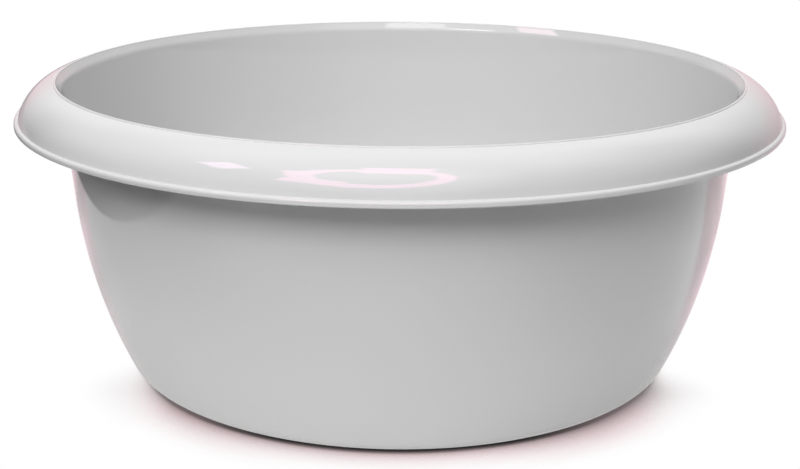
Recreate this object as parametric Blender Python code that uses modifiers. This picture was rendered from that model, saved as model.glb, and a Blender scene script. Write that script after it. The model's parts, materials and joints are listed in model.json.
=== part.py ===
"""Round washing-up bowl, one glossy polypropylene moulding.

The bowl is a shell of even wall: a foot ring, a barrelled wall, a raised mouth lip and a wide
rolled rim that ends in a small flange. Thin webs brace the rolled rim to the wall from below.

Lengths are in metres and angles in radians. +Z is up. The origin is the centre of the face that
the bowl rests on. Points of the turned profile are pairs: distance from the axis, height.
"""

import math

import bmesh
import bpy

# Overall size
RIM_RADIUS = 0.190
HEIGHT = 0.146

# Thickness of the moulding
WALL = 0.0018
BASE_THICKNESS = 0.0020
SKIRT_THICKNESS = 0.0018

# Barrelled wall: it leans least at the waist, bulges below it and opens to the mouth above it
WAIST_DROP = 0.0531
WAIST_INSET = 0.0056
WAIST_LEAN = math.radians(4.4)
BARREL_RADIUS = 0.256
BASE_CORNER_RADIUS = 0.007

# Mouth: a short band inside the bowl, under a flat lip that stands a hair above the rim
BAND_HEIGHT = 0.0044
BAND_WIDTH = 0.0013
LIP_WIDTH = 0.0013
LIP_STEP = 0.0004
LIP_DRAFT = 0.0001
LIP_ROUND = 0.0005

# Rolled rim: a round skirt that falls from the lip to the flange
SKIRT_ROUND = 0.0238
SKIRT_SLOPE = math.radians(13.4)
SKIRT_DROP = 0.0169
SKIRT_FOOT_ROUND = 0.0002
UNDER_RIM_ROUND = 0.0012

# Flange along the lower edge of the skirt
FLANGE_WIDTH = 0.0019
FLANGE_THICKNESS = 0.0028
FLANGE_TOP_ROUND = 0.0016
FLANGE_LOWER_ROUND = 0.0005

# Foot ring under the base
FOOT_HEIGHT = 0.0012
FOOT_WIDTH = 0.0030
FOOT_INSET = 0.0020
FOOT_DRAFT = 0.0003

# Mark of the injection gate in the middle of the underside
GATE_DIMPLE_RADIUS = 0.0060
GATE_DIMPLE_DEPTH = 0.0005
GATE_PIP_RADIUS = 0.0018
GATE_PIP_HEIGHT = 0.0003

# Webs between the wall and the skirt, hidden under the rim
WEB_COUNT = 12
WEB_THICKNESS = 0.0014
WEB_FLANGE_CLEARANCE = 0.0045
WEB_ARCH = 0.0030

# Smoothness of the turned shape and of its arcs
TURN_STEPS = 72
LONG_ARC_STEPS = 6
SKIRT_STEPS = 8
UNDERSKIRT_STEPS = 6
NECK_STEPS = 3
ROUND_STEPS = 3
SMALL_ROUND_STEPS = 2
ARCH_STEPS = 6
MERGE_DISTANCE = 0.00001
SHARP_ANGLE = math.radians(50.0)

# Angles that the arcs below are measured with, from straight out towards straight up
OUT = 0.0
UP = math.pi / 2
IN = math.pi
DOWN = -math.pi / 2


def polar(centre, radius, angle):
    """Point at a distance and an angle from a centre."""
    return (centre[0] + radius * math.cos(angle), centre[1] + radius * math.sin(angle))


def arc(centre, radius, start, end, steps):
    """Points along an arc, both ends included."""
    turn = (end - start) / steps
    return [polar(centre, radius, start + turn * step) for step in range(steps + 1)]


# Levels, measured up from the resting face
flange_top = HEIGHT - SKIRT_DROP
flange_bottom = flange_top - FLANGE_THICKNESS
floor_level = FOOT_HEIGHT + BASE_THICKNESS

# Centre of the skirt's round, set so that the flange reaches the rim radius
skirt_centre_level = HEIGHT - LIP_STEP - SKIRT_ROUND * math.cos(SKIRT_SLOPE)
skirt_end_angle = math.asin((flange_top - skirt_centre_level) / SKIRT_ROUND)
skirt_centre_radius = RIM_RADIUS - FLANGE_WIDTH - SKIRT_ROUND * math.cos(skirt_end_angle)
skirt_centre = (skirt_centre_radius, skirt_centre_level)
underskirt_round = SKIRT_ROUND - SKIRT_THICKNESS

# The lip's inner edge is the mouth of the bowl
skirt_start = polar(skirt_centre, SKIRT_ROUND, UP - SKIRT_SLOPE)
lip_outer_radius = skirt_start[0] - LIP_DRAFT
mouth_radius = lip_outer_radius - LIP_WIDTH

# Waist, on the outside of the wall, and the centre of the barrel below it
waist = (mouth_radius - WAIST_INSET, HEIGHT - WAIST_DROP)
barrel_centre = polar(waist, -BARREL_RADIUS, -WAIST_LEAN)
inner_waist = polar(waist, -WALL, -WAIST_LEAN)

# Neck: the wall opens from the waist to the lower edge of the mouth band, on one arc
inner_neck = (mouth_radius - BAND_WIDTH, HEIGHT - BAND_HEIGHT)
neck_rise = inner_neck[1] - inner_waist[1]
neck_spread = inner_neck[0] - inner_waist[0]
chord_lean = math.atan2(neck_spread, neck_rise)
neck_lean = chord_lean + (chord_lean - WAIST_LEAN)
neck_round = math.hypot(neck_spread, neck_rise) / math.sin(chord_lean - WAIST_LEAN) / 2
neck_centre = polar(inner_waist, neck_round, -WAIST_LEAN)


def neck_point(depth, lean):
    """Point of the neck at a depth into the wall from its inner face, where the wall has a lean."""
    return polar(neck_centre, depth - neck_round, -lean)


def barrel_corner(depth, level, radius):
    """Centre of the round between the barrel and a level face, and the lean where they meet."""
    reach = BARREL_RADIUS - depth - radius
    lean = math.asin((barrel_centre[1] - level - radius) / reach)
    return polar(barrel_centre, reach, -lean), lean


def under_rim_corner():
    """Centre of the round between the outside of the wall and the underside of the skirt."""
    neck_top = neck_point(WALL, neck_lean)
    start = polar(neck_top, UNDER_RIM_ROUND, -neck_lean)
    offset = (start[0] - skirt_centre[0], start[1] - skirt_centre[1])
    along = offset[0] * math.sin(neck_lean) + offset[1] * math.cos(neck_lean)
    reach = underskirt_round - UNDER_RIM_ROUND
    travel = math.sqrt(along**2 - offset[0]**2 - offset[1]**2 + reach**2) - along
    return polar(start, travel, UP - neck_lean)


rim_corner = under_rim_corner()
rim_corner_angle = math.atan2(rim_corner[1] - skirt_centre[1], rim_corner[0] - skirt_centre[0])


def inside_profile():
    """The inside of the bowl, from the middle of its floor up to the mouth band."""
    radius = BASE_CORNER_RADIUS - WALL
    corner, lean = barrel_corner(WALL, floor_level, radius)
    points = [(0, floor_level)]
    points += arc(corner, radius, DOWN, -lean, ROUND_STEPS)
    points += arc(barrel_centre, BARREL_RADIUS - WALL, -lean, -WAIST_LEAN, LONG_ARC_STEPS)[1:]
    for step in range(1, NECK_STEPS + 1):
        points.append(neck_point(0, WAIST_LEAN + (neck_lean - WAIST_LEAN) * step / NECK_STEPS))
    return points


def lip_profile():
    """The mouth lip, from its inner edge over its flat top to its outer edge."""
    centre = (mouth_radius + LIP_ROUND, HEIGHT - LIP_ROUND)
    return arc(centre, LIP_ROUND, IN, UP, SMALL_ROUND_STEPS) + [(lip_outer_radius, HEIGHT)]


def skirt_profile():
    """The skirt's round face and the small hollow round at its foot."""
    fillet_level = flange_top + SKIRT_FOOT_ROUND
    fillet_reach = SKIRT_ROUND + SKIRT_FOOT_ROUND
    angle = math.asin((fillet_level - skirt_centre[1]) / fillet_reach)
    fillet_centre = polar(skirt_centre, fillet_reach, angle)
    face = arc(skirt_centre, SKIRT_ROUND, UP - SKIRT_SLOPE, angle, SKIRT_STEPS)
    fillet = arc(fillet_centre, SKIRT_FOOT_ROUND, angle + IN, DOWN + math.tau, SMALL_ROUND_STEPS)
    return face + fillet[1:]


def flange_profile():
    """The flange, over its rounded edge to the inner edge of its flat underside."""
    top_centre = (RIM_RADIUS - FLANGE_TOP_ROUND, flange_top - FLANGE_TOP_ROUND)
    lower_centre = (RIM_RADIUS - FLANGE_LOWER_ROUND, flange_bottom + FLANGE_LOWER_ROUND)
    points = arc(top_centre, FLANGE_TOP_ROUND, UP, OUT, ROUND_STEPS)
    points += arc(lower_centre, FLANGE_LOWER_ROUND, OUT, DOWN, SMALL_ROUND_STEPS)
    return points


def underskirt_profile():
    """The underside of the rolled rim, from the flange up to the wall."""
    start = math.asin((flange_bottom - skirt_centre[1]) / underskirt_round)
    points = arc(skirt_centre, underskirt_round, start, rim_corner_angle, UNDERSKIRT_STEPS)
    fillet = arc(rim_corner, UNDER_RIM_ROUND, rim_corner_angle, IN - neck_lean, SMALL_ROUND_STEPS)
    return points + fillet[1:]


def outside_profile():
    """The outside of the wall, from the neck down to the base."""
    points = []
    for step in range(NECK_STEPS + 1):
        points.append(neck_point(WALL, neck_lean + (WAIST_LEAN - neck_lean) * step / NECK_STEPS))
    corner, lean = barrel_corner(0, FOOT_HEIGHT, BASE_CORNER_RADIUS)
    points += arc(barrel_centre, BARREL_RADIUS, -WAIST_LEAN, -lean, LONG_ARC_STEPS)[1:]
    points += arc(corner, BASE_CORNER_RADIUS, -lean, DOWN, ROUND_STEPS)[1:]
    return points


def underside_profile():
    """The foot ring and the gate mark, ending on the axis."""
    corner, lean = barrel_corner(0, FOOT_HEIGHT, BASE_CORNER_RADIUS)
    foot_outer = corner[0] - FOOT_INSET
    foot_inner = foot_outer - FOOT_WIDTH
    dimple_level = FOOT_HEIGHT + GATE_DIMPLE_DEPTH
    pip_level = dimple_level - GATE_PIP_HEIGHT
    return [
        (foot_outer, FOOT_HEIGHT),
        (foot_outer - FOOT_DRAFT, 0),
        (foot_inner + FOOT_DRAFT, 0),
        (foot_inner, FOOT_HEIGHT),
        (GATE_DIMPLE_RADIUS, FOOT_HEIGHT),
        (GATE_DIMPLE_RADIUS - GATE_DIMPLE_DEPTH, dimple_level),
        (GATE_PIP_RADIUS, dimple_level),
        (GATE_PIP_RADIUS - GATE_PIP_HEIGHT, pip_level),
        (0, pip_level),
    ]


def web_outline():
    """Outline of one web, buried to the middle of the skirt and to the middle of the wall."""
    foot_level = flange_bottom + WEB_FLANGE_CLEARANCE
    skirt_middle = SKIRT_ROUND - SKIRT_THICKNESS / 2
    wall_middle = WALL / 2
    skirt_foot_angle = math.asin((foot_level - skirt_centre[1]) / skirt_middle)
    wall_foot_lean = math.asin((foot_level - neck_centre[1]) / (neck_round - wall_middle))
    corner_angle = (rim_corner_angle + IN - neck_lean) / 2

    points = arc(skirt_centre, skirt_middle, skirt_foot_angle, rim_corner_angle, UNDERSKIRT_STEPS)
    points.append(polar(rim_corner, UNDER_RIM_ROUND + wall_middle, corner_angle))
    points.append(neck_point(wall_middle, neck_lean))
    points.append(neck_point(wall_middle, wall_foot_lean))

    # The lower edge arches up between the wall and the skirt
    wall_foot = points[-1]
    skirt_foot = points[0]
    for step in range(1, ARCH_STEPS):
        share = step / ARCH_STEPS
        radius = wall_foot[0] + (skirt_foot[0] - wall_foot[0]) * share
        points.append((radius, foot_level + WEB_ARCH * math.sin(IN * share)))
    return points


def clear_scene():
    """Remove what a new file holds."""
    for item in list(bpy.data.objects):
        bpy.data.objects.remove(item, do_unlink=True)


def new_collection(name):
    collection = bpy.data.collections.new(name)
    bpy.context.scene.collection.children.link(collection)
    return collection


def plastic():
    """Light grey gloss polypropylene."""
    material = bpy.data.materials.new("light_grey_polypropylene")
    material.use_nodes = True
    shader = material.node_tree.nodes["Principled BSDF"]
    shader.inputs["Base Color"].default_value = (0.62, 0.62, 0.61, 1)
    shader.inputs["Metallic"].default_value = 0
    shader.inputs["Roughness"].default_value = 0.22
    shader.inputs["IOR"].default_value = 1.49
    return material


def turned_bowl(collection):
    """The whole shell, as one profile turned about the axis."""
    profile = (
        inside_profile() + lip_profile() + skirt_profile() + flange_profile()
        + underskirt_profile() + outside_profile() + underside_profile()
    )
    mesh = bpy.data.meshes.new("bowl")
    vertices = [(radius, 0, level) for radius, level in profile]
    edges = [(index, index + 1) for index in range(len(vertices) - 1)]
    mesh.from_pydata(vertices, edges, [])
    bowl = bpy.data.objects.new("bowl", mesh)
    collection.objects.link(bowl)

    turn = bowl.modifiers.new("turn", "SCREW")
    turn.axis = "Z"
    turn.angle = math.tau
    turn.steps = TURN_STEPS
    turn.render_steps = TURN_STEPS
    turn.use_merge_vertices = True
    turn.merge_threshold = MERGE_DISTANCE
    turn.use_smooth_shade = True
    return bowl


def web_mesh():
    """One web as a closed flat solid, standing in the XZ plane."""
    curve = bpy.data.curves.new("web_outline", "CURVE")
    curve.dimensions = "2D"
    curve.fill_mode = "BOTH"
    curve.extrude = WEB_THICKNESS / 2
    outline = web_outline()
    spline = curve.splines.new("POLY")
    spline.points.add(len(outline) - 1)
    for point, (radius, level) in zip(spline.points, outline):
        point.co = (radius, level, 0, 1)
    spline.use_cyclic_u = True

    guide = bpy.data.objects.new("web_outline", curve)
    bpy.context.scene.collection.objects.link(guide)
    depsgraph = bpy.context.evaluated_depsgraph_get()
    mesh = bpy.data.meshes.new_from_object(guide.evaluated_get(depsgraph))
    bpy.data.objects.remove(guide, do_unlink=True)

    body = bmesh.new()
    body.from_mesh(mesh)
    bmesh.ops.remove_doubles(body, verts=body.verts, dist=MERGE_DISTANCE)
    bmesh.ops.recalc_face_normals(body, faces=body.faces)
    body.to_mesh(mesh)
    body.free()
    mesh.name = "web"
    return mesh


def place_webs(collection):
    """Set the webs around the bowl, half a step away from the X and Y axes."""
    mesh = web_mesh()
    step = math.tau / WEB_COUNT
    for index in range(WEB_COUNT):
        web = bpy.data.objects.new(f"web_{index + 1}", mesh)
        web.rotation_euler = (UP, 0, step * (index + 1 / 2))
        web.hide_render = True
        web.display_type = "WIRE"
        collection.objects.link(web)


def brace_rim(bowl, webs):
    """Join the webs to the shell, as one moulding."""
    union = bowl.modifiers.new("webs", "BOOLEAN")
    union.operation = "UNION"
    union.solver = "EXACT"
    union.operand_type = "COLLECTION"
    union.collection = webs


def shade(bowl):
    """Keep the joined shape as the bowl's own mesh, smooth all over but for its crisp edges."""
    depsgraph = bpy.context.evaluated_depsgraph_get()
    mesh = bpy.data.meshes.new_from_object(bowl.evaluated_get(depsgraph))
    profile = bowl.data
    bowl.modifiers.clear()
    bowl.data = mesh
    bpy.data.meshes.remove(profile)
    mesh.name = "bowl"
    mesh.shade_smooth()
    mesh.set_sharp_from_angle(angle=SHARP_ANGLE)


def build():
    clear_scene()
    parts = new_collection("plastic_bowl")
    cutters = new_collection("bowl_webs")
    bowl = turned_bowl(parts)
    place_webs(cutters)
    brace_rim(bowl, cutters)
    shade(bowl)
    bowl.data.materials.append(plastic())


build()
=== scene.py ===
"""Looks of a round washing-up bowl: one glossy light grey polypropylene moulding on white paper.

The fine surface is one profile turned about the axis, joined to thin webs under the rolled rim.
Lengths are in metres. Angles are in radians, apart from those that a comment gives in degrees.
+Z is up and the camera looks along +Y. Points of the turned profile are pairs: distance from the
axis, height above the floor.
"""

import json
import math
from collections import namedtuple

import bmesh
import bpy
from mathutils import Matrix, Vector

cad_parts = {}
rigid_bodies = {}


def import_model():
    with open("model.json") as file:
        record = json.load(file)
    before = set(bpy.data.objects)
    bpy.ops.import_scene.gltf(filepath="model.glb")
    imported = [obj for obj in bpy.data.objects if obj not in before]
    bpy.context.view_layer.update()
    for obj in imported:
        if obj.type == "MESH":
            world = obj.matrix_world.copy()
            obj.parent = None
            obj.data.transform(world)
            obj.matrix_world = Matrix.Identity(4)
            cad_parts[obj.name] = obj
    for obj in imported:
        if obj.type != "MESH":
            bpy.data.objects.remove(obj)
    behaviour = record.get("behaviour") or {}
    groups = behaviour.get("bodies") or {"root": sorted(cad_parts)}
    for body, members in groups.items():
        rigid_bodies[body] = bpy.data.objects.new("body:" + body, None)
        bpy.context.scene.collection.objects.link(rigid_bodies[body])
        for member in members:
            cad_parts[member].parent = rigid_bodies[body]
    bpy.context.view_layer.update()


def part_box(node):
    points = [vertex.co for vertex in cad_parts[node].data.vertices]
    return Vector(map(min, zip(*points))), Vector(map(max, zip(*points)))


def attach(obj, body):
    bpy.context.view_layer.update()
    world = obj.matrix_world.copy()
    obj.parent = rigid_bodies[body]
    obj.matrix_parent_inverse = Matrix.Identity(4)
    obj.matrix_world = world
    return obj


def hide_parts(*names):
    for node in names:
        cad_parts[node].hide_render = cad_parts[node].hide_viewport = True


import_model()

MM = 0.001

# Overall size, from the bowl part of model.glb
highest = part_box("bowl")[1]
RIM_RADIUS = highest.x
HEIGHT = highest.z

# Thickness of the moulding
WALL = 1.8 * MM
BASE_THICKNESS = 2.0 * MM
SKIRT_THICKNESS = 1.8 * MM

# Barrelled wall: least lean at the waist, a bulge below it and an opening neck above it
WAIST_DROP = 53.1 * MM
WAIST_INSET = 5.6 * MM
WAIST_LEAN = math.radians(4.4)
BARREL_RADIUS = 256 * MM
BASE_CORNER_RADIUS = 7 * MM

# Mouth: a short sloping band inside the bowl, under a round lip that stands a hair above the rim
BAND_HEIGHT = 4.4 * MM
BAND_WIDTH = 2.4 * MM
BAND_BLEND = 1.3 * MM
LIP_WIDTH = 1.3 * MM
LIP_STEP = 0.4 * MM
LIP_DRAFT = 0.1 * MM
LIP_ROUND = 0.6 * MM

# Fine crease between the lip and the skirt. The lip's round stops a little before its side is upright
CREASE_WIDTH = 0.45 * MM
CREASE_DEPTH = 0.25 * MM
LIP_ROUND_END = math.radians(25)

# Rolled rim: a round skirt that falls from the lip to the flange
SKIRT_ROUND = 23.8 * MM
SKIRT_SLOPE = math.radians(13.4)
SKIRT_DROP = 16.9 * MM
SKIRT_FOOT_ROUND = 0.2 * MM
UNDER_RIM_ROUND = 1.2 * MM

# Flange along the lower edge of the skirt
FLANGE_WIDTH = 1.9 * MM
FLANGE_THICKNESS = 2.8 * MM
FLANGE_TOP_ROUND = 1.6 * MM
FLANGE_LOWER_ROUND = 0.5 * MM

# Foot ring under the base
FOOT_HEIGHT = 1.2 * MM
FOOT_WIDTH = 3.0 * MM
FOOT_INSET = 2.0 * MM
FOOT_DRAFT = 0.3 * MM

# Mark of the injection gate in the middle of the underside
GATE_DIMPLE_RADIUS = 6.0 * MM
GATE_DIMPLE_DEPTH = 0.5 * MM
GATE_PIP_RADIUS = 1.8 * MM
GATE_PIP_HEIGHT = 0.3 * MM

# Webs between the wall and the skirt, under the rim
WEB_COUNT = 12
WEB_THICKNESS = 1.4 * MM
WEB_FLANGE_CLEARANCE = 4.5 * MM
WEB_ARCH = 3.0 * MM

# Fineness of the mesh
TURN_STEPS = 240
ARC_LEAST_STEPS = 2
ARC_SPACING = 3.0 * MM
ARC_TURN = math.radians(9)
BEND_LEAST_STEPS = 3
BAND_BEND_TURN = ARC_TURN / 2
WEB_ARCH_SPACING = 1.5 * MM
CRISP_TURN = 1.05 * ARC_TURN
EDGE_SOFTNESS = 0.2 * MM
RUN_PARTS = 3
SUPPORT_GAP = 0.35 * MM
LONG_RUN_RATIO = 3
MERGE_DISTANCE = 0.001 * MM
SMOOTH_ANGLE = math.radians(35)

# Angles that arcs are measured with, from straight out towards straight up
OUT = 0.0
UP = math.pi / 2
IN = math.pi
DOWN = -math.pi / 2


def polar(centre, radius, angle):
    """Point at a distance and an angle from a centre."""
    return (centre[0] + radius * math.cos(angle), centre[1] + radius * math.sin(angle))


def arc(centre, radius, start, end):
    """Points along an arc, both ends included, as close as the mesh's fineness asks."""
    sweep = abs(end - start)
    steps = max(ARC_LEAST_STEPS, math.ceil(sweep / ARC_TURN), math.ceil(abs(radius) * sweep / ARC_SPACING))
    return [polar(centre, radius, start + (end - start) * step / steps) for step in range(steps + 1)]


# Levels, measured up from the floor
flange_top = HEIGHT - SKIRT_DROP
flange_bottom = flange_top - FLANGE_THICKNESS
floor_level = FOOT_HEIGHT + BASE_THICKNESS

# Centre of the skirt's round, set so that the flange reaches the rim radius
skirt_centre_level = HEIGHT - LIP_STEP - SKIRT_ROUND * math.cos(SKIRT_SLOPE)
skirt_end_angle = math.asin((flange_top - skirt_centre_level) / SKIRT_ROUND)
skirt_centre_radius = RIM_RADIUS - FLANGE_WIDTH - SKIRT_ROUND * math.cos(skirt_end_angle)
skirt_centre = (skirt_centre_radius, skirt_centre_level)
underskirt_round = SKIRT_ROUND - SKIRT_THICKNESS

# The lip's inner edge is the mouth of the bowl
skirt_start = polar(skirt_centre, SKIRT_ROUND, UP - SKIRT_SLOPE)
lip_outer_radius = skirt_start[0] - LIP_DRAFT
mouth_radius = lip_outer_radius - LIP_WIDTH

# Waist, on the outside of the wall, and the centre of the barrel below it
waist = (mouth_radius - WAIST_INSET, HEIGHT - WAIST_DROP)
barrel_centre = polar(waist, -BARREL_RADIUS, -WAIST_LEAN)
inner_waist = polar(waist, -WALL, -WAIST_LEAN)

# Neck: one arc from the waist to the lower edge of the mouth band
inner_neck = (mouth_radius - BAND_WIDTH, HEIGHT - BAND_HEIGHT)
neck_rise = inner_neck[1] - inner_waist[1]
neck_spread = inner_neck[0] - inner_waist[0]
chord_lean = math.atan2(neck_spread, neck_rise)
neck_lean = chord_lean + (chord_lean - WAIST_LEAN)
neck_round = math.hypot(neck_spread, neck_rise) / math.sin(chord_lean - WAIST_LEAN) / 2
neck_centre = polar(inner_waist, neck_round, -WAIST_LEAN)


def base_corner(depth, level, radius):
    """Centre of the round between the barrel and a level face, and the lean where they meet."""
    reach = BARREL_RADIUS - depth - radius
    lean = math.asin((barrel_centre[1] - level - radius) / reach)
    return polar(barrel_centre, reach, -lean), lean


def under_rim_corner():
    """Centre of the round between the outside of the wall and the underside of the skirt."""
    neck_top = polar(neck_centre, WALL - neck_round, -neck_lean)
    start = polar(neck_top, UNDER_RIM_ROUND, -neck_lean)
    offset = (start[0] - skirt_centre[0], start[1] - skirt_centre[1])
    along = offset[0] * math.sin(neck_lean) + offset[1] * math.cos(neck_lean)
    reach = underskirt_round - UNDER_RIM_ROUND
    travel = math.sqrt(along**2 - offset[0]**2 - offset[1]**2 + reach**2) - along
    return polar(start, travel, UP - neck_lean)


rim_corner = under_rim_corner()
rim_corner_angle = math.atan2(rim_corner[1] - skirt_centre[1], rim_corner[0] - skirt_centre[0])


def bend(start, corner, end, turn, step_turn):
    """Points along a soft bend that leaves start and reaches end in line with the corner."""
    steps = max(BEND_LEAST_STEPS, math.ceil(turn / step_turn))
    shares = [step / steps for step in range(steps + 1)]
    return [tuple(start.lerp(corner, share).lerp(corner.lerp(end, share), share)) for share in shares]


def inside_profile():
    """The inside, from the middle of the floor up to the mouth band."""
    radius = BASE_CORNER_RADIUS - WALL
    corner, lean = base_corner(WALL, floor_level, radius)
    points = [(0, floor_level)]
    points += arc(corner, radius, DOWN, -lean)
    points += arc(barrel_centre, BARREL_RADIUS - WALL, -lean, -WAIST_LEAN)[1:]
    points += arc(neck_centre, -neck_round, -WAIST_LEAN, BAND_BLEND / neck_round - neck_lean)[1:]
    neck_end = Vector(points[-1])
    band_start = Vector(inner_neck)
    band_run = Vector((mouth_radius, HEIGHT - LIP_ROUND)) - band_start
    band_foot = band_start + band_run.normalized() * BAND_BLEND
    turn = (band_start - neck_end).angle(band_foot - band_start)
    return points + bend(neck_end, band_start, band_foot, turn, BAND_BEND_TURN)[1:]


def lip_profile():
    """The mouth lip, from its inner edge over its rounded top down to the crease beside it."""
    inner_centre = (mouth_radius + LIP_ROUND, HEIGHT - LIP_ROUND)
    outer_centre = (lip_outer_radius - LIP_ROUND, HEIGHT - LIP_ROUND)
    top = arc(inner_centre, LIP_ROUND, IN, UP) + arc(outer_centre, LIP_ROUND, UP, OUT + LIP_ROUND_END)
    return top + [(lip_outer_radius, HEIGHT - LIP_STEP - CREASE_DEPTH)]


def skirt_profile():
    """The skirt's round face and the small hollow round at its foot."""
    fillet_level = flange_top + SKIRT_FOOT_ROUND
    fillet_reach = SKIRT_ROUND + SKIRT_FOOT_ROUND
    angle = math.asin((fillet_level - skirt_centre[1]) / fillet_reach)
    fillet_centre = polar(skirt_centre, fillet_reach, angle)
    face = arc(skirt_centre, SKIRT_ROUND, UP - SKIRT_SLOPE - CREASE_WIDTH / SKIRT_ROUND, angle)
    fillet = arc(fillet_centre, SKIRT_FOOT_ROUND, angle + IN, DOWN + math.tau)
    return face + fillet[1:]


def flange_profile():
    """The flange, over its rounded edge to the inner edge of its flat underside."""
    top_centre = (RIM_RADIUS - FLANGE_TOP_ROUND, flange_top - FLANGE_TOP_ROUND)
    lower_centre = (RIM_RADIUS - FLANGE_LOWER_ROUND, flange_bottom + FLANGE_LOWER_ROUND)
    return arc(top_centre, FLANGE_TOP_ROUND, UP, OUT) + arc(lower_centre, FLANGE_LOWER_ROUND, OUT, DOWN)


def underskirt_profile():
    """The underside of the rolled rim, from the flange up to the wall."""
    start = math.asin((flange_bottom - skirt_centre[1]) / underskirt_round)
    points = arc(skirt_centre, underskirt_round, start, rim_corner_angle)
    return points + arc(rim_corner, UNDER_RIM_ROUND, rim_corner_angle, IN - neck_lean)[1:]


def outside_profile():
    """The outside of the wall, from the neck down to the base."""
    corner, lean = base_corner(0, FOOT_HEIGHT, BASE_CORNER_RADIUS)
    points = arc(neck_centre, WALL - neck_round, -neck_lean, -WAIST_LEAN)
    points += arc(barrel_centre, BARREL_RADIUS, -WAIST_LEAN, -lean)[1:]
    points += arc(corner, BASE_CORNER_RADIUS, -lean, DOWN)[1:]
    return points


def underside_profile():
    """The foot ring and the gate mark, ending on the axis."""
    corner, lean = base_corner(0, FOOT_HEIGHT, BASE_CORNER_RADIUS)
    foot_outer = corner[0] - FOOT_INSET
    foot_inner = foot_outer - FOOT_WIDTH
    dimple_level = FOOT_HEIGHT + GATE_DIMPLE_DEPTH
    pip_level = dimple_level - GATE_PIP_HEIGHT
    return [
        (foot_outer, FOOT_HEIGHT),
        (foot_outer - FOOT_DRAFT, 0),
        (foot_inner + FOOT_DRAFT, 0),
        (foot_inner, FOOT_HEIGHT),
        (GATE_DIMPLE_RADIUS, FOOT_HEIGHT),
        (GATE_DIMPLE_RADIUS - GATE_DIMPLE_DEPTH, dimple_level),
        (GATE_PIP_RADIUS, dimple_level),
        (GATE_PIP_RADIUS - GATE_PIP_HEIGHT, pip_level),
        (0, pip_level),
    ]


def soften(points):
    """Give each crisp corner of a profile the small round that a mould leaves on it."""
    soft = [points[0]]
    for before, here, after in zip(points, points[1:], points[2:]):
        corner = Vector(here)
        incoming = corner - Vector(before)
        outgoing = Vector(after) - corner
        turn = incoming.angle(outgoing)
        if turn <= CRISP_TURN:
            soft.append(here)
            continue
        cut = min(EDGE_SOFTNESS, incoming.length / RUN_PARTS, outgoing.length / RUN_PARTS)
        start = corner - incoming.normalized() * cut
        end = corner + outgoing.normalized() * cut
        soft += bend(start, corner, end, turn, ARC_TURN)
    soft.append(points[-1])
    return soft


def support(points):
    """Add a point on a long run beside a much shorter one, so that the long run shades flat."""
    runs = [(Vector(end) - Vector(start)) for start, end in zip(points, points[1:])]
    held = [points[0]]
    for index, run in enumerate(runs):
        gap = run.normalized() * SUPPORT_GAP
        before = runs[max(index - 1, 0)].length
        after = runs[min(index + 1, len(runs) - 1)].length
        if run.length > LONG_RUN_RATIO * max(before, SUPPORT_GAP):
            held.append(tuple(Vector(points[index]) + gap))
        if run.length > LONG_RUN_RATIO * max(after, SUPPORT_GAP):
            held.append(tuple(Vector(points[index + 1]) - gap))
        held.append(points[index + 1])
    return held


def link(name, data):
    """A new object in the scene."""
    thing = bpy.data.objects.new(name, data)
    bpy.context.scene.collection.objects.link(thing)
    return thing


def turned_shell():
    """The shell: the whole profile, turned once round the axis."""
    profile = support(soften(
        inside_profile() + lip_profile() + skirt_profile() + flange_profile()
        + underskirt_profile() + outside_profile() + underside_profile()
    ))
    mesh = bpy.data.meshes.new("bowl_moulding")
    vertices = [(radius, 0, level) for radius, level in profile]
    edges = [(index, index + 1) for index in range(len(vertices) - 1)]
    mesh.from_pydata(vertices, edges, [])
    shell = link("bowl_moulding", mesh)
    turn = shell.modifiers.new("turn", "SCREW")
    turn.axis = "Z"
    turn.angle = math.tau
    turn.steps = TURN_STEPS
    turn.render_steps = TURN_STEPS
    turn.use_merge_vertices = True
    turn.merge_threshold = MERGE_DISTANCE
    return shell


def web_outline():
    """Outline of one web, buried to the middle of the skirt and to the middle of the wall."""
    foot_level = flange_bottom + WEB_FLANGE_CLEARANCE
    skirt_middle = SKIRT_ROUND - SKIRT_THICKNESS / 2
    wall_middle = WALL / 2
    skirt_foot_angle = math.asin((foot_level - skirt_centre[1]) / skirt_middle)
    wall_foot_lean = math.asin((foot_level - neck_centre[1]) / (neck_round - wall_middle))
    corner_angle = (rim_corner_angle + IN - neck_lean) / 2

    points = arc(skirt_centre, skirt_middle, skirt_foot_angle, rim_corner_angle)
    points.append(polar(rim_corner, UNDER_RIM_ROUND + wall_middle, corner_angle))
    points += arc(neck_centre, wall_middle - neck_round, -neck_lean, -wall_foot_lean)

    # The lower edge arches up between the wall and the skirt
    wall_foot = Vector(points[-1])
    skirt_foot = Vector(points[0])
    steps = math.ceil((skirt_foot - wall_foot).length / WEB_ARCH_SPACING)
    for step in range(1, steps):
        share = step / steps
        point = wall_foot.lerp(skirt_foot, share)
        points.append((point.x, point.y + WEB_ARCH * math.sin(math.pi * share)))
    return points


def web_mesh():
    """One web as a closed flat solid, standing in the XZ plane."""
    outline = web_outline()
    half = WEB_THICKNESS / 2
    body = bmesh.new()
    face = body.faces.new([body.verts.new((radius, -half, level)) for radius, level in outline])
    raised = bmesh.ops.extrude_face_region(body, geom=[face])["geom"]
    moved = [item for item in raised if isinstance(item, bmesh.types.BMVert)]
    bmesh.ops.translate(body, verts=moved, vec=(0, WEB_THICKNESS, 0))
    bmesh.ops.recalc_face_normals(body, faces=body.faces)
    mesh = bpy.data.meshes.new("web")
    body.to_mesh(mesh)
    body.free()
    return mesh


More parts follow.
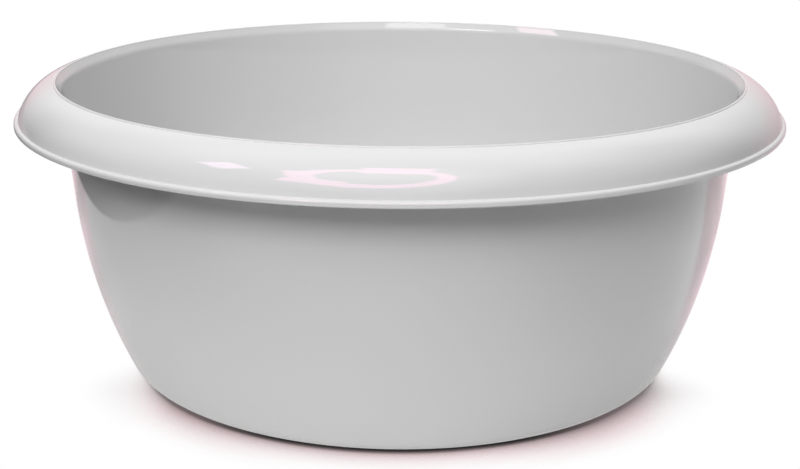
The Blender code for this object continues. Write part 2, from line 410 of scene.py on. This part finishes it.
def moulding():
    """The whole moulding: the turned shell and its webs, joined into one smooth-shaded mesh."""
    bowl = turned_shell()
    webs = bpy.data.collections.new("webs")
    bpy.context.scene.collection.children.link(webs)
    plate = web_mesh()
    step = math.tau / WEB_COUNT
    for index in range(WEB_COUNT):
        web = bpy.data.objects.new(f"web_{index + 1}", plate)
        web.rotation_euler.z = step * (index + 1 / 2)
        webs.objects.link(web)
    joined = bowl.modifiers.new("webs", "BOOLEAN")
    joined.operation = "UNION"
    joined.solver = "MANIFOLD"
    joined.operand_type = "COLLECTION"
    joined.collection = webs

    depsgraph = bpy.context.evaluated_depsgraph_get()
    mesh = bpy.data.meshes.new_from_object(bowl.evaluated_get(depsgraph))
    bowl.modifiers.clear()
    bowl.data = mesh
    for web in list(webs.objects):
        bpy.data.objects.remove(web)
    bpy.data.collections.remove(webs)
    mesh.shade_smooth()
    mesh.set_sharp_from_angle(angle=SMOOTH_ANGLE)
    return bowl


class Term:
    """A number that varies over a surface. Arithmetic on it adds Math nodes to its recipe."""

    def __init__(self, recipe, socket):
        self.recipe = recipe
        self.socket = socket

    def output(self, name):
        """Another output of the node that this number comes from."""
        return Term(self.recipe, self.socket.node.outputs[name])

    def __add__(self, other):
        return self.recipe.maths("ADD", self, other)

    def __radd__(self, other):
        return self.recipe.maths("ADD", other, self)

    def __sub__(self, other):
        return self.recipe.maths("SUBTRACT", self, other)

    def __rsub__(self, other):
        return self.recipe.maths("SUBTRACT", other, self)

    def __mul__(self, other):
        return self.recipe.maths("MULTIPLY", self, other)

    def __rmul__(self, other):
        return self.recipe.maths("MULTIPLY", other, self)

    def __truediv__(self, other):
        return self.recipe.maths("DIVIDE", self, other)

    def __rtruediv__(self, other):
        return self.recipe.maths("DIVIDE", other, self)


def set_stops(elements, stops):
    """Give a colour ramp its stops, each a place from 0 to 1 and a colour."""
    for place, colour in stops[1:-1]:
        elements.new(place)
    for element, (place, colour) in zip(elements, stops):
        element.position = place
        element.color = colour


# Sockets of the Mix node that carry colours
FIRST_COLOUR = 6
SECOND_COLOUR = 7
MIXED_COLOUR = 2


class Recipe:
    """The node tree of one material or of the world."""

    def __init__(self, owner):
        owner.use_nodes = True
        self.tree = owner.node_tree
        self.tree.nodes.clear()

    def node(self, kind, settings, sockets, output=0):
        """Add a node: its type, its settings, its sockets' values or links, and which output to use."""
        node = self.tree.nodes.new(kind)
        for name, value in settings.items():
            if name == "stops":
                set_stops(node.color_ramp.elements, value)
            else:
                setattr(node, name, value)
        for name, value in sockets.items():
            if isinstance(value, Term):
                self.tree.links.new(value.socket, node.inputs[name])
            else:
                node.inputs[name].default_value = value
        return Term(self, node.outputs[output]) if node.outputs else None

    def maths(self, operation, *values):
        """A Math node on one or more numbers."""
        return self.node("ShaderNodeMath", {"operation": operation}, dict(enumerate(values)))

    def ramp(self, value, start, full, least=0.0):
        """Smooth step of a value: the least share up to start and one from full on, either way round."""
        return self.node(
            "ShaderNodeMapRange", {"interpolation_type": "SMOOTHSTEP"},
            {"Value": value, "From Min": start, "From Max": full, "To Min": least, "To Max": 1.0},
        )

    def greatest(self, first, *others):
        """The greatest of some numbers."""
        for other in others:
            first = self.maths("MAXIMUM", first, other)
        return first

    def distance(self, across, along):
        """Distance from the axis of a place that lies so far across and along."""
        return self.maths("SQRT", across * across + along * along)

    def noise(self, place, scale, detail=2.0, distortion=0.0):
        """Cloudy pattern, mostly near a half."""
        sockets = {"Vector": place, "Scale": scale, "Detail": detail, "Distortion": distortion}
        return self.node("ShaderNodeTexNoise", {}, sockets)

    def place(self):
        """The place on the surface, in metres from its object's origin, which is on the bowl's axis."""
        return self.node("ShaderNodeTexCoord", {}, {}, "Object")

    def split(self, vector):
        """The three parts of a vector."""
        parts = self.node("ShaderNodeSeparateXYZ", {}, {"Vector": vector})
        return [parts.output(axis) for axis in "XYZ"]

    def along(self, vector, direction):
        """How far a vector reaches along a direction."""
        return self.node(
            "ShaderNodeVectorMath", {"operation": "DOT_PRODUCT"}, {0: vector, 1: direction}, "Value")

    def mix(self, share, first, second):
        """Colour between two colours."""
        sockets = {"Factor": share, FIRST_COLOUR: first, SECOND_COLOUR: second}
        return self.node("ShaderNodeMix", {"data_type": "RGBA"}, sockets, MIXED_COLOUR)

    def blend(self, share, first, second):
        """Shader between two shaders."""
        return self.node("ShaderNodeMixShader", {}, {0: share, 1: first, 2: second})


WHITE = (1, 1, 1, 1)

# Light grey polypropylene: its colour, with faint clouds and streaks
PLASTIC_COLOUR = (0.665, 0.665, 0.665, 1)
PLASTIC_SHADED = (0.64, 0.64, 0.64, 1)
PLASTIC_IOR = 1.49
CLOUD_SCALE = 14.0
CLOUD_SHARE = 0.6
STREAK_COUNT = 6.0
STREAK_CLIMB = 9.0
STREAK_DETAIL = 3.0
STREAK_SHARE = 0.4

# Its finish: the roughness as moulded, and what is added to it in some places
GLOSS = 0.035
CLOUDED = 0.02
SCUFFED = 0.12
MATT_UNDERSIDE = 0.22
RUBBED = 0.20
SCUFF_SCALE = 260.0
SCUFF_CURL = 6.0
SCUFF_SPAN = (0.66, 0.74)
SCUFF_LEVEL_SPAN = (2 * MM, 4 * MM)
SCUFF_REACH_SPAN = (130 * MM, 100 * MM)
UNDERSIDE_SPAN = (1.4 * FOOT_HEIGHT, 0.6 * FOOT_HEIGHT)
FOOT_SPAN = (0.2 * FOOT_HEIGHT, 0)

# Its relief: a fine orange peel on a long sway
PEEL_SCALE = 420.0
PEEL_DETAIL = 1.0
PEEL_SHARE = 0.15
SWAY_SCALE = 28.0
SWAY_DETAIL = 0.0
RELIEF_HEIGHT = 0.02 * MM


def polypropylene():
    """Glossy moulded plastic with a faint orange peel, flow streaks and light scuffs."""
    material = bpy.data.materials.new("light_grey_polypropylene")
    recipe = Recipe(material)
    place = recipe.place()
    x, y, level = recipe.split(place)
    radius = recipe.distance(x, y)

    # The streaks ran out from the gate and up the wall
    clouds = recipe.noise(place, CLOUD_SCALE)
    flow = recipe.node("ShaderNodeCombineXYZ", {}, {
        "X": STREAK_COUNT * x / radius,
        "Y": STREAK_COUNT * y / radius,
        "Z": STREAK_CLIMB * (level + radius),
    })
    streaks = recipe.noise(flow, 1.0, STREAK_DETAIL)
    colour = recipe.mix(CLOUD_SHARE * clouds + STREAK_SHARE * streaks, PLASTIC_SHADED, PLASTIC_COLOUR)

    # Hair-fine scuffs lie on the inside floor, and the foot ring is rubbed by what it stands on
    scuffs = recipe.ramp(recipe.noise(place, SCUFF_SCALE, distortion=SCUFF_CURL), *SCUFF_SPAN)
    scuffs *= recipe.ramp(level, *SCUFF_LEVEL_SPAN) * recipe.ramp(radius, *SCUFF_REACH_SPAN)
    roughness = GLOSS + CLOUDED * clouds + SCUFFED * scuffs
    roughness += MATT_UNDERSIDE * recipe.ramp(level, *UNDERSIDE_SPAN)
    roughness += RUBBED * recipe.ramp(level, *FOOT_SPAN)

    peel = recipe.noise(place, PEEL_SCALE, PEEL_DETAIL)
    sway = recipe.noise(place, SWAY_SCALE, SWAY_DETAIL)
    relief = recipe.node("ShaderNodeBump", {}, {
        "Strength": 1.0,
        "Distance": RELIEF_HEIGHT,
        "Height": PEEL_SHARE * peel + sway,
    })
    shader = recipe.node("ShaderNodeBsdfPrincipled", {}, {
        "Base Color": colour,
        "Roughness": roughness,
        "IOR": PLASTIC_IOR,
        "Normal": relief,
    })
    recipe.node("ShaderNodeOutputMaterial", {}, {"Surface": shader})
    return material


# Camera, placed so that the bowl lies in the picture as in the photograph
CAMERA_PLACE = (0, -0.6898, 0.2678)
CAMERA_PITCH = math.radians(16.847)
CAMERA_YAW = math.radians(0.028)
CAMERA_ROLL = math.radians(0.345)
CAMERA_LENS = 61.955
CAMERA_SENSOR = 36.0


def camera():
    """The scene's camera, in front of the bowl, looking down on it."""
    data = bpy.data.cameras.new("camera")
    data.sensor_width = CAMERA_SENSOR
    data.lens = CAMERA_LENS
    lens = link("camera", data)
    turn = Matrix.Rotation(-CAMERA_YAW, 4, "Z")
    turn @= Matrix.Rotation(math.pi / 2 - CAMERA_PITCH, 4, "X")
    turn @= Matrix.Rotation(CAMERA_ROLL, 4, "Z")
    lens.matrix_world = Matrix.Translation(CAMERA_PLACE) @ turn
    bpy.context.scene.camera = lens


def level_sheet(name, size, level, material):
    """A square sheet of the stage that lies level, its middle on the bowl's axis."""
    body = bmesh.new()
    bmesh.ops.create_grid(body, x_segments=1, y_segments=1, size=size / 2)
    mesh = bpy.data.meshes.new(name)
    body.to_mesh(mesh)
    body.free()
    mesh.materials.append(material)
    sheet = link(name, mesh)
    sheet.location.z = level
    return sheet


# Straight ways across a sheet. A place is measured from the bowl's axis along one of them
WAYS = {
    "right": (1, 0, 0),
    "left": (-1, 0, 0),
    "back": (0, 1, 0),
    "front": (0, -1, 0),
    "back and right": (0.93, 1, 0),
    "back and left": (-0.67, 1, 0),
    "right and back": (1, 0.45, 0),
}

# Share that rises along a way: its least value where the place measures start, and one where it
# measures full. Way may also be "outwards", or "to either side"
Fade = namedtuple("Fade", "way start full least", defaults=[0.0])

# Colour that shows where all its fades are full, and the layers that lie on it, the last one on top
Layer = namedtuple("Layer", "colour fades upper", defaults=[()])


class SheetRecipe(Recipe):
    """The node tree of a level sheet's material. The sheet's glow isn't sampled as a lamp."""

    def __init__(self, name):
        self.material = bpy.data.materials.new(name)
        self.material.cycles.emission_sampling = "NONE"
        super().__init__(self.material)
        self.spot = self.place()
        self.x, self.y = self.split(self.spot)[:2]

    def measure(self, way):
        """How far the place on the sheet lies from the bowl's axis: outwards, to a side or along a way."""
        if way == "outwards":
            return self.distance(self.x, self.y)
        if way == "to either side":
            return self.maths("ABSOLUTE", self.x)
        return self.along(self.spot, WAYS[way])

    def share(self, *fades):
        """The shares of some fades, multiplied."""
        return math.prod(
            self.ramp(self.measure(fade.way), fade.start, fade.full, fade.least) for fade in fades)

    def painted(self, layer):
        """Colour of a layer and of all that lies on it."""
        colour = layer.colour
        for upper in layer.upper:
            colour = self.mix(self.share(*upper.fades), colour, self.painted(upper))
        return colour


# White paper that the bowl stands on. Only the stretch round the bowl throws light back at it
FLOOR_SIZE = 8.0
FLOOR_GAP = 0.1 * MM
PAPER_COLOUR = (0.85, 0.85, 0.85, 1)
PAPER_SHIFT = 30 * MM
PAPER_REACH_SPAN = (320 * MM, 270 * MM)
ROOM_FLOOR_COLOUR = (0, 0, 0, 1)

# The paper as the plastic's gloss mirrors it, painted as a glow with painted light and painted shade in
# it: plain in front, pinker behind the bowl
# Painted reflection behind the bowl: a pink glow where the gloss sees the paper there
PAINTED_PINK_REFLECTION_BEHIND = Layer((1.0, 0.79, 0.85, 1), [
    Fade("back and right", -0.1908, -0.1558),
    Fade("back and left", -0.1550, -0.1200),
], [
    # Painted light, brighter on the right, with a band of painted shade across
    Layer((1.25, 1.00, 1.06, 1), [Fade("right", 0.24, 0.35)]),
    Layer((0.80, 0.68, 0.71, 1), [
        Fade("back", 0.15, 0.21),
        Fade("back", 0.28, 0.23),
        Fade("right", 0.30, 0.20, 0.25),
    ]),
])
# Painted reflection far behind the bowl: dim, brighter and pinker to the right, less so to the left
PAINTED_REFLECTION_FAR_BEHIND = Layer((0.30, 0.28, 0.29, 1), [Fade("back", 0.4, 0.8)], [
    Layer((0.80, 0.61, 0.65, 1), [Fade("right", 0.3, 0.6)]),
    Layer((0.48, 0.37, 0.40, 1), [Fade("left", 0.3, 0.8)]),
])
PAINTED_PAPER_REFLECTION = Layer((0.88, 0.88, 0.88, 1), [], [
    # Painted light: brighter to the right, and more so at the far right
    Layer((0.98, 0.98, 0.98, 1), [Fade("right", -0.365, 0.05)]),
    Layer((1.52, 1.50, 1.51, 1), [Fade("right", 0.14, 0.32)]),
    # Painted light: brighter in front of the bowl
    Layer((1.68, 1.67, 1.69, 1), [
        Fade("front", 0.17, 0.32),
        Fade("right", -0.42, -0.24),
        Fade("right", 0.25, 0.10, 0.55),
    ]),
    PAINTED_PINK_REFLECTION_BEHIND,
    # Painted shadow: darker near the bowl, behind it on the left, and under it
    Layer((0.70, 0.64, 0.65, 1), [
        Fade("outwards", 0.30, 0.18),
        Fade("back", -0.02, 0.06),
        Fade("right", 0.1, 0.0),
    ]),
    Layer((0.66, 0.64, 0.64, 1), [Fade("outwards", 0.21, 0.13)]),
    # Painted light: brightest far in front
    Layer((2.7, 2.65, 2.7, 1), [
        Fade("front", 0.52, 0.66),
        Fade("right and back", 0.3, -0.2),
    ]),
    # Painted reflection of the dark past the paper's left edge
    Layer((0.15, 0.15, 0.15, 1), [Fade("left", 0.363, 0.367)]),
    PAINTED_REFLECTION_FAR_BEHIND,
])

# The bowl's soft shadow: colours from its core to its fringe, pinker in front and plain at the sides
SHADOW_REACH = 70 * MM
SHADOW_SAMPLES = 16
FRONT_SHADOW_STOPS = [
    (0.0, (0.02, 0.019, 0.019, 1)),
    (0.5, (0.50, 0.39, 0.40, 1)),
    (0.8, (0.85, 0.71, 0.73, 1)),
    (1.0, WHITE),
]
SIDE_SHADOW_STOPS = [
    (0.0, (0.08, 0.075, 0.075, 1)),
    (0.5, (0.51, 0.48, 0.48, 1)),
    (0.8, (0.83, 0.80, 0.80, 1)),
    (1.0, WHITE),
]
SIDE_SHADOW_FADE = Fade("to either side", 108 * MM, 135 * MM)
BACK_SHADOW_FADE = Fade("back", -100 * MM, -50 * MM)

# The shadow runs from the first of two shares of open air to the second. Clearing lightens it,
# softness draws its fringe out and crowding darkens it
SHADOW_START = 0.09
SHADOW_END = 0.54
LEFT_END_FADE = Fade("left", 105 * MM, 135 * MM)
LEFT_CLEARING = 0.345
LEFT_SOFTNESS = 0.45
RIGHT_END_FADE = Fade("right", 125 * MM, 150 * MM)
RIGHT_CLEARING = 0.17
RIGHT_SOFTNESS = 0.23
BACK_CLEARING_FADE = Fade("back", -75 * MM, 0)
BACK_CLEARING = 0.5
LEFT_CROWDING_FADE = Fade("left", 30 * MM, 100 * MM)
LEFT_CROWDING = 0.05
RIGHT_CROWDING_FADE = Fade("right", 20 * MM, 100 * MM)
RIGHT_CROWDING = 0.085
PALE_CORE_FADE = Fade("to either side", 50 * MM, 110 * MM)
PALE_CORE = 0.15


def soft_shadow(recipe):
    """Colour of the paper as the camera sees it: white, with the bowl's soft shadow."""
    openness = recipe.node(
        "ShaderNodeAmbientOcclusion", {"samples": SHADOW_SAMPLES}, {"Distance": SHADOW_REACH}, "AO")
    left_end = recipe.share(LEFT_END_FADE)
    right_end = recipe.share(RIGHT_END_FADE)
    clearing = BACK_CLEARING * recipe.share(BACK_CLEARING_FADE)
    clearing += LEFT_CLEARING * left_end + RIGHT_CLEARING * right_end
    crowding = LEFT_CROWDING * recipe.share(LEFT_CROWDING_FADE)
    crowding += RIGHT_CROWDING * recipe.share(RIGHT_CROWDING_FADE)
    end = SHADOW_END + LEFT_SOFTNESS * left_end + RIGHT_SOFTNESS * right_end
    shade = recipe.ramp(openness + clearing - crowding, SHADOW_START, end)
    shade = recipe.greatest(shade, PALE_CORE * recipe.share(PALE_CORE_FADE))

    front = recipe.node("ShaderNodeValToRGB", {"stops": FRONT_SHADOW_STOPS}, {"Fac": shade})
    side = recipe.node("ShaderNodeValToRGB", {"stops": SIDE_SHADOW_STOPS}, {"Fac": shade})
    plain = recipe.greatest(recipe.share(SIDE_SHADOW_FADE), recipe.share(BACK_SHADOW_FADE))
    return recipe.mix(plain, front, side)


def white_paper():
    """White paper: a glow with the bowl's painted shadow as the camera sees it, a painted reflection as
    the gloss sees it, and matt for all other light.
    """
    recipe = SheetRecipe("white_paper")
    reach = recipe.distance(recipe.x - PAPER_SHIFT, recipe.y)
    paper = recipe.mix(recipe.ramp(reach, *PAPER_REACH_SPAN), ROOM_FLOOR_COLOUR, PAPER_COLOUR)
    matt = recipe.node("ShaderNodeBsdfDiffuse", {}, {"Color": paper})
    # The gloss sees a glow of painted reflection, with painted light and painted shadow, in place of the
    # paper
    painted_reflection = recipe.node("ShaderNodeEmission", {}, {"Color": recipe.painted(PAINTED_PAPER_REFLECTION)})
    seen = recipe.node("ShaderNodeEmission", {}, {"Color": soft_shadow(recipe)})
    path = recipe.node("ShaderNodeLightPath", {}, {})
    shader = recipe.blend(path.output("Is Glossy Ray"), matt, painted_reflection)
    shader = recipe.blend(path.output("Is Camera Ray"), shader, seen)
    recipe.node("ShaderNodeOutputMaterial", {}, {"Surface": shader})
    return recipe.material


# Clear card that lies level just above the mouth, with glowing patches on its far half
CARD_SIZE = 0.5
CARD_LEVEL = 160 * MM
CARD_BACK_FADE = Fade("back", 0, 50 * MM)

# Each patch is a stretch of a ring, between two places across and two radii, with a soft edge. They
# are a plain stretch, a white one on it, a thin line beside that and a pink patch, the last on top
Patch = namedtuple("Patch", "colour left right inner outer blur")
CARD_PATCHES = [
    Patch((1.3, 1.3, 1.3, 1), -36 * MM, 60 * MM, 149 * MM, 170 * MM, 1.0 * MM),
    Patch((5.2, 5.1, 5.1, 1), -7.5 * MM, 23.5 * MM, 154.5 * MM, 170 * MM, 1.0 * MM),
    Patch((8.5, 8.2, 8.3, 1), 23.5 * MM, 46 * MM, 149.5 * MM, 155.5 * MM, 1.2 * MM),
    Patch((7.2, 5.0, 6.0, 1), 60.5 * MM, 79 * MM, 154 * MM, 170 * MM, 0.8 * MM),
]


def patch_fades(patch):
    """Fades that hold a patch: one at each edge, and one that keeps it off the card's near half."""
    blur = patch.blur
    return [
        Fade("right", patch.left - blur, patch.left + blur),
        Fade("right", patch.right + blur, patch.right - blur),
        Fade("outwards", patch.inner - blur, patch.inner + blur),
        Fade("outwards", patch.outer + blur, patch.outer - blur),
        CARD_BACK_FADE,
    ]


def card_paper():
    """Glowing patches on clear film."""
    recipe = SheetRecipe("card_paper")
    shares = [recipe.share(*patch_fades(patch)) for patch in CARD_PATCHES]
    colour = CARD_PATCHES[0].colour
    for patch, share in zip(CARD_PATCHES[1:], shares[1:]):
        colour = recipe.mix(share, colour, patch.colour)
    clear = recipe.node("ShaderNodeBsdfTransparent", {}, {})
    glow = recipe.node("ShaderNodeEmission", {}, {"Color": colour})
    shader = recipe.blend(recipe.greatest(*shares), clear, glow)
    recipe.node("ShaderNodeOutputMaterial", {}, {"Surface": shader})
    return recipe.material


def reflector_card():
    """The clear card, seen only in the gloss of the mouth's far side."""
    card = level_sheet("reflector_card", CARD_SIZE, CARD_LEVEL, card_paper())
    card.visible_camera = False
    card.visible_diffuse = False
    card.visible_shadow = False
    card.visible_transmission = False


def towards(azimuth, elevation):
    """Direction from the bowl. Azimuth 0 is the camera's side and turns towards +X. Degrees."""
    turn = math.radians(azimuth)
    rise = math.radians(elevation)
    return Vector((math.sin(turn) * math.cos(rise), -math.cos(turn) * math.cos(rise), math.sin(rise)))


# Round area of the air: its direction, the angle from it within which the area is full, and the
# angle at which it is gone. Degrees
Disc = namedtuple("Disc", "azimuth elevation full gone")

# Pale cards round the bowl, each with its strength
CARDS = [
    (0.81, Disc(170, 10, 30, 60)),
    (0.28, Disc(180, 45, 15, 42)),
    (0.41, Disc(120, 50, 10, 34)),
    (0.32, Disc(240, 45, 10, 34)),
    (0.12, Disc(224, 19, 6, 24)),
    (0.84, Disc(0, 90, 18, 45)),
    (1.2, Disc(0, 52, 10, 33)),
    (0.31, Disc(-45, 27, 8, 30)),
]

# Pink glow low behind the bowl, which fades as the direction rises
GLOW_COLOUR = (1.1, 0.81, 0.88, 1)
GLOW_DISC = Disc(160, 5, 42, 60)
GLOW_RISE_SPAN = (0.31, 0.05)

# Rectangle of the air: its size, how far its middle lies off the direction that it is set out from,
# and its turn. Degrees
Panel = namedtuple("Panel", "width height across rise turn", defaults=[0])
PANEL_BLUR = 0.012

# A panel shows only round its own direction, and not on the far side of the air
PANEL_FRONT_SPAN = (0.5, 0.6)

# Pink lamp over the front of the rim: a ring with a tab on its top and two on its left
RING_COLOUR = (5.3, 1.95, 3.6, 1)
RING_OUTER = Disc(-11.6, 58.5, 18.0, 19.2)
RING_INNER = Disc(-10.6, 60.2, 12.7, 13.9)
RING_FACING = towards(-9, 58)
RING_ACROSS = towards(81, 0)
RING_TABS = [
    Panel(13.4, 11.4, 1.9, 17.6),
    Panel(15, 8.5, -15, -8, -27),
    Panel(6, 11, -17.5, 5.5),
]

# Pink streak to the left of the ring
STREAK_COLOUR = (5.2, 3.2, 4.9, 1)
STREAK_FACING = towards(-72, 50)
STREAK_ACROSS = towards(18, 0)
STREAK_PANEL = Panel(10.0, 8.8, -1.9, 3.6, -13)


def in_disc(recipe, direction, disc):
    """One inside a disc of directions, falling to zero at its edge."""
    along = recipe.along(direction, towards(disc.azimuth, disc.elevation))
    return recipe.ramp(along, math.cos(math.radians(disc.gone)), math.cos(math.radians(disc.full)))


def in_panel(recipe, direction, facing, right, panel):
    """One inside a panel set out from the direction that it faces, falling to zero at its edges."""
    top = facing.cross(right)
    turn = math.radians(panel.turn)
    middle = facing + right * math.tan(math.radians(panel.across))
    middle += top * math.tan(math.radians(panel.rise))
    middle.normalize()
    sides = [
        (panel.width, right * math.cos(turn) + top * math.sin(turn)),
        (panel.height, top * math.cos(turn) - right * math.sin(turn)),
    ]
    share = recipe.ramp(recipe.along(direction, facing), *PANEL_FRONT_SPAN)
    for size, side in sides:
        off = recipe.maths("ABSOLUTE", recipe.along(direction, side) - middle.dot(side))
        edge = math.sin(math.radians(size / 2))
        share *= recipe.ramp(off, edge + PANEL_BLUR, edge - PANEL_BLUR)
    return share


def studio_air():
    """White background for the camera; for everything else a dark studio with pale soft cards."""
    world = bpy.data.worlds.new("studio_air")
    bpy.context.scene.world = world
    recipe = Recipe(world)
    direction = recipe.node("ShaderNodeTexCoord", {}, {}, "Generated")
    path = recipe.node("ShaderNodeLightPath", {}, {})
    camera_ray = path.output("Is Camera Ray")
    glossy_ray = path.output("Is Glossy Ray")

    cards = sum(strength * in_disc(recipe, direction, disc) for strength, disc in CARDS)
    rise = recipe.split(direction)[2]
    glow = recipe.ramp(rise, *GLOW_RISE_SPAN) * in_disc(recipe, direction, GLOW_DISC)
    air = recipe.node("ShaderNodeBackground", {}, {
        "Color": recipe.mix(glow * glossy_ray, WHITE, GLOW_COLOUR),
        "Strength": camera_ray + (1 - camera_ray) * cards,
    })

    ring = in_disc(recipe, direction, RING_OUTER) * (1 - in_disc(recipe, direction, RING_INNER))
    tabs = [in_panel(recipe, direction, RING_FACING, RING_ACROSS, tab) for tab in RING_TABS]
    streak = in_panel(recipe, direction, STREAK_FACING, STREAK_ACROSS, STREAK_PANEL)
    shine = recipe.node("ShaderNodeBackground", {}, {
        "Color": recipe.mix(streak, RING_COLOUR, STREAK_COLOUR),
        "Strength": glossy_ray * recipe.greatest(ring, *tabs, streak),
    })
    both = recipe.node("ShaderNodeAddShader", {}, {0: air, 1: shine})
    recipe.node("ShaderNodeOutputWorld", {}, {"Surface": both})


# Softboxes that light the bowl
LAMP_DISTANCE = 1.7
LAMP_AIM = Vector((0, 0, HEIGHT / 2))


def softbox(name, azimuth, elevation, width, height, radiance):
    """A softbox that faces the bowl, from a direction in degrees. The gloss doesn't show it."""
    data = bpy.data.lights.new(name, "AREA")
    data.shape = "RECTANGLE"
    data.size = width
    data.size_y = height
    data.energy = radiance * math.pi * width * height
    lamp = link(name, data)
    away = towards(azimuth, elevation)
    lamp.location = LAMP_AIM + away * LAMP_DISTANCE
    lamp.rotation_euler = away.to_track_quat("Z", "Y").to_euler()
    lamp.visible_camera = False
    lamp.visible_glossy = False


bowl = moulding()
bowl.data.materials.clear()
bowl.data.materials.append(polypropylene())
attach(bowl, "root")
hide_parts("bowl")

level_sheet("floor", FLOOR_SIZE, -FLOOR_GAP, white_paper())
reflector_card()
studio_air()
softbox("key_softbox", azimuth=-14, elevation=33.2, width=1.15, height=0.50, radiance=7.7)
softbox("fill_softbox", azimuth=-31, elevation=50, width=0.75, height=0.65, radiance=2.2)
softbox("top_softbox", azimuth=25, elevation=70, width=0.60, height=0.50, radiance=2.4)
camera()
bpy.context.scene.view_settings.view_transform = "Standard"
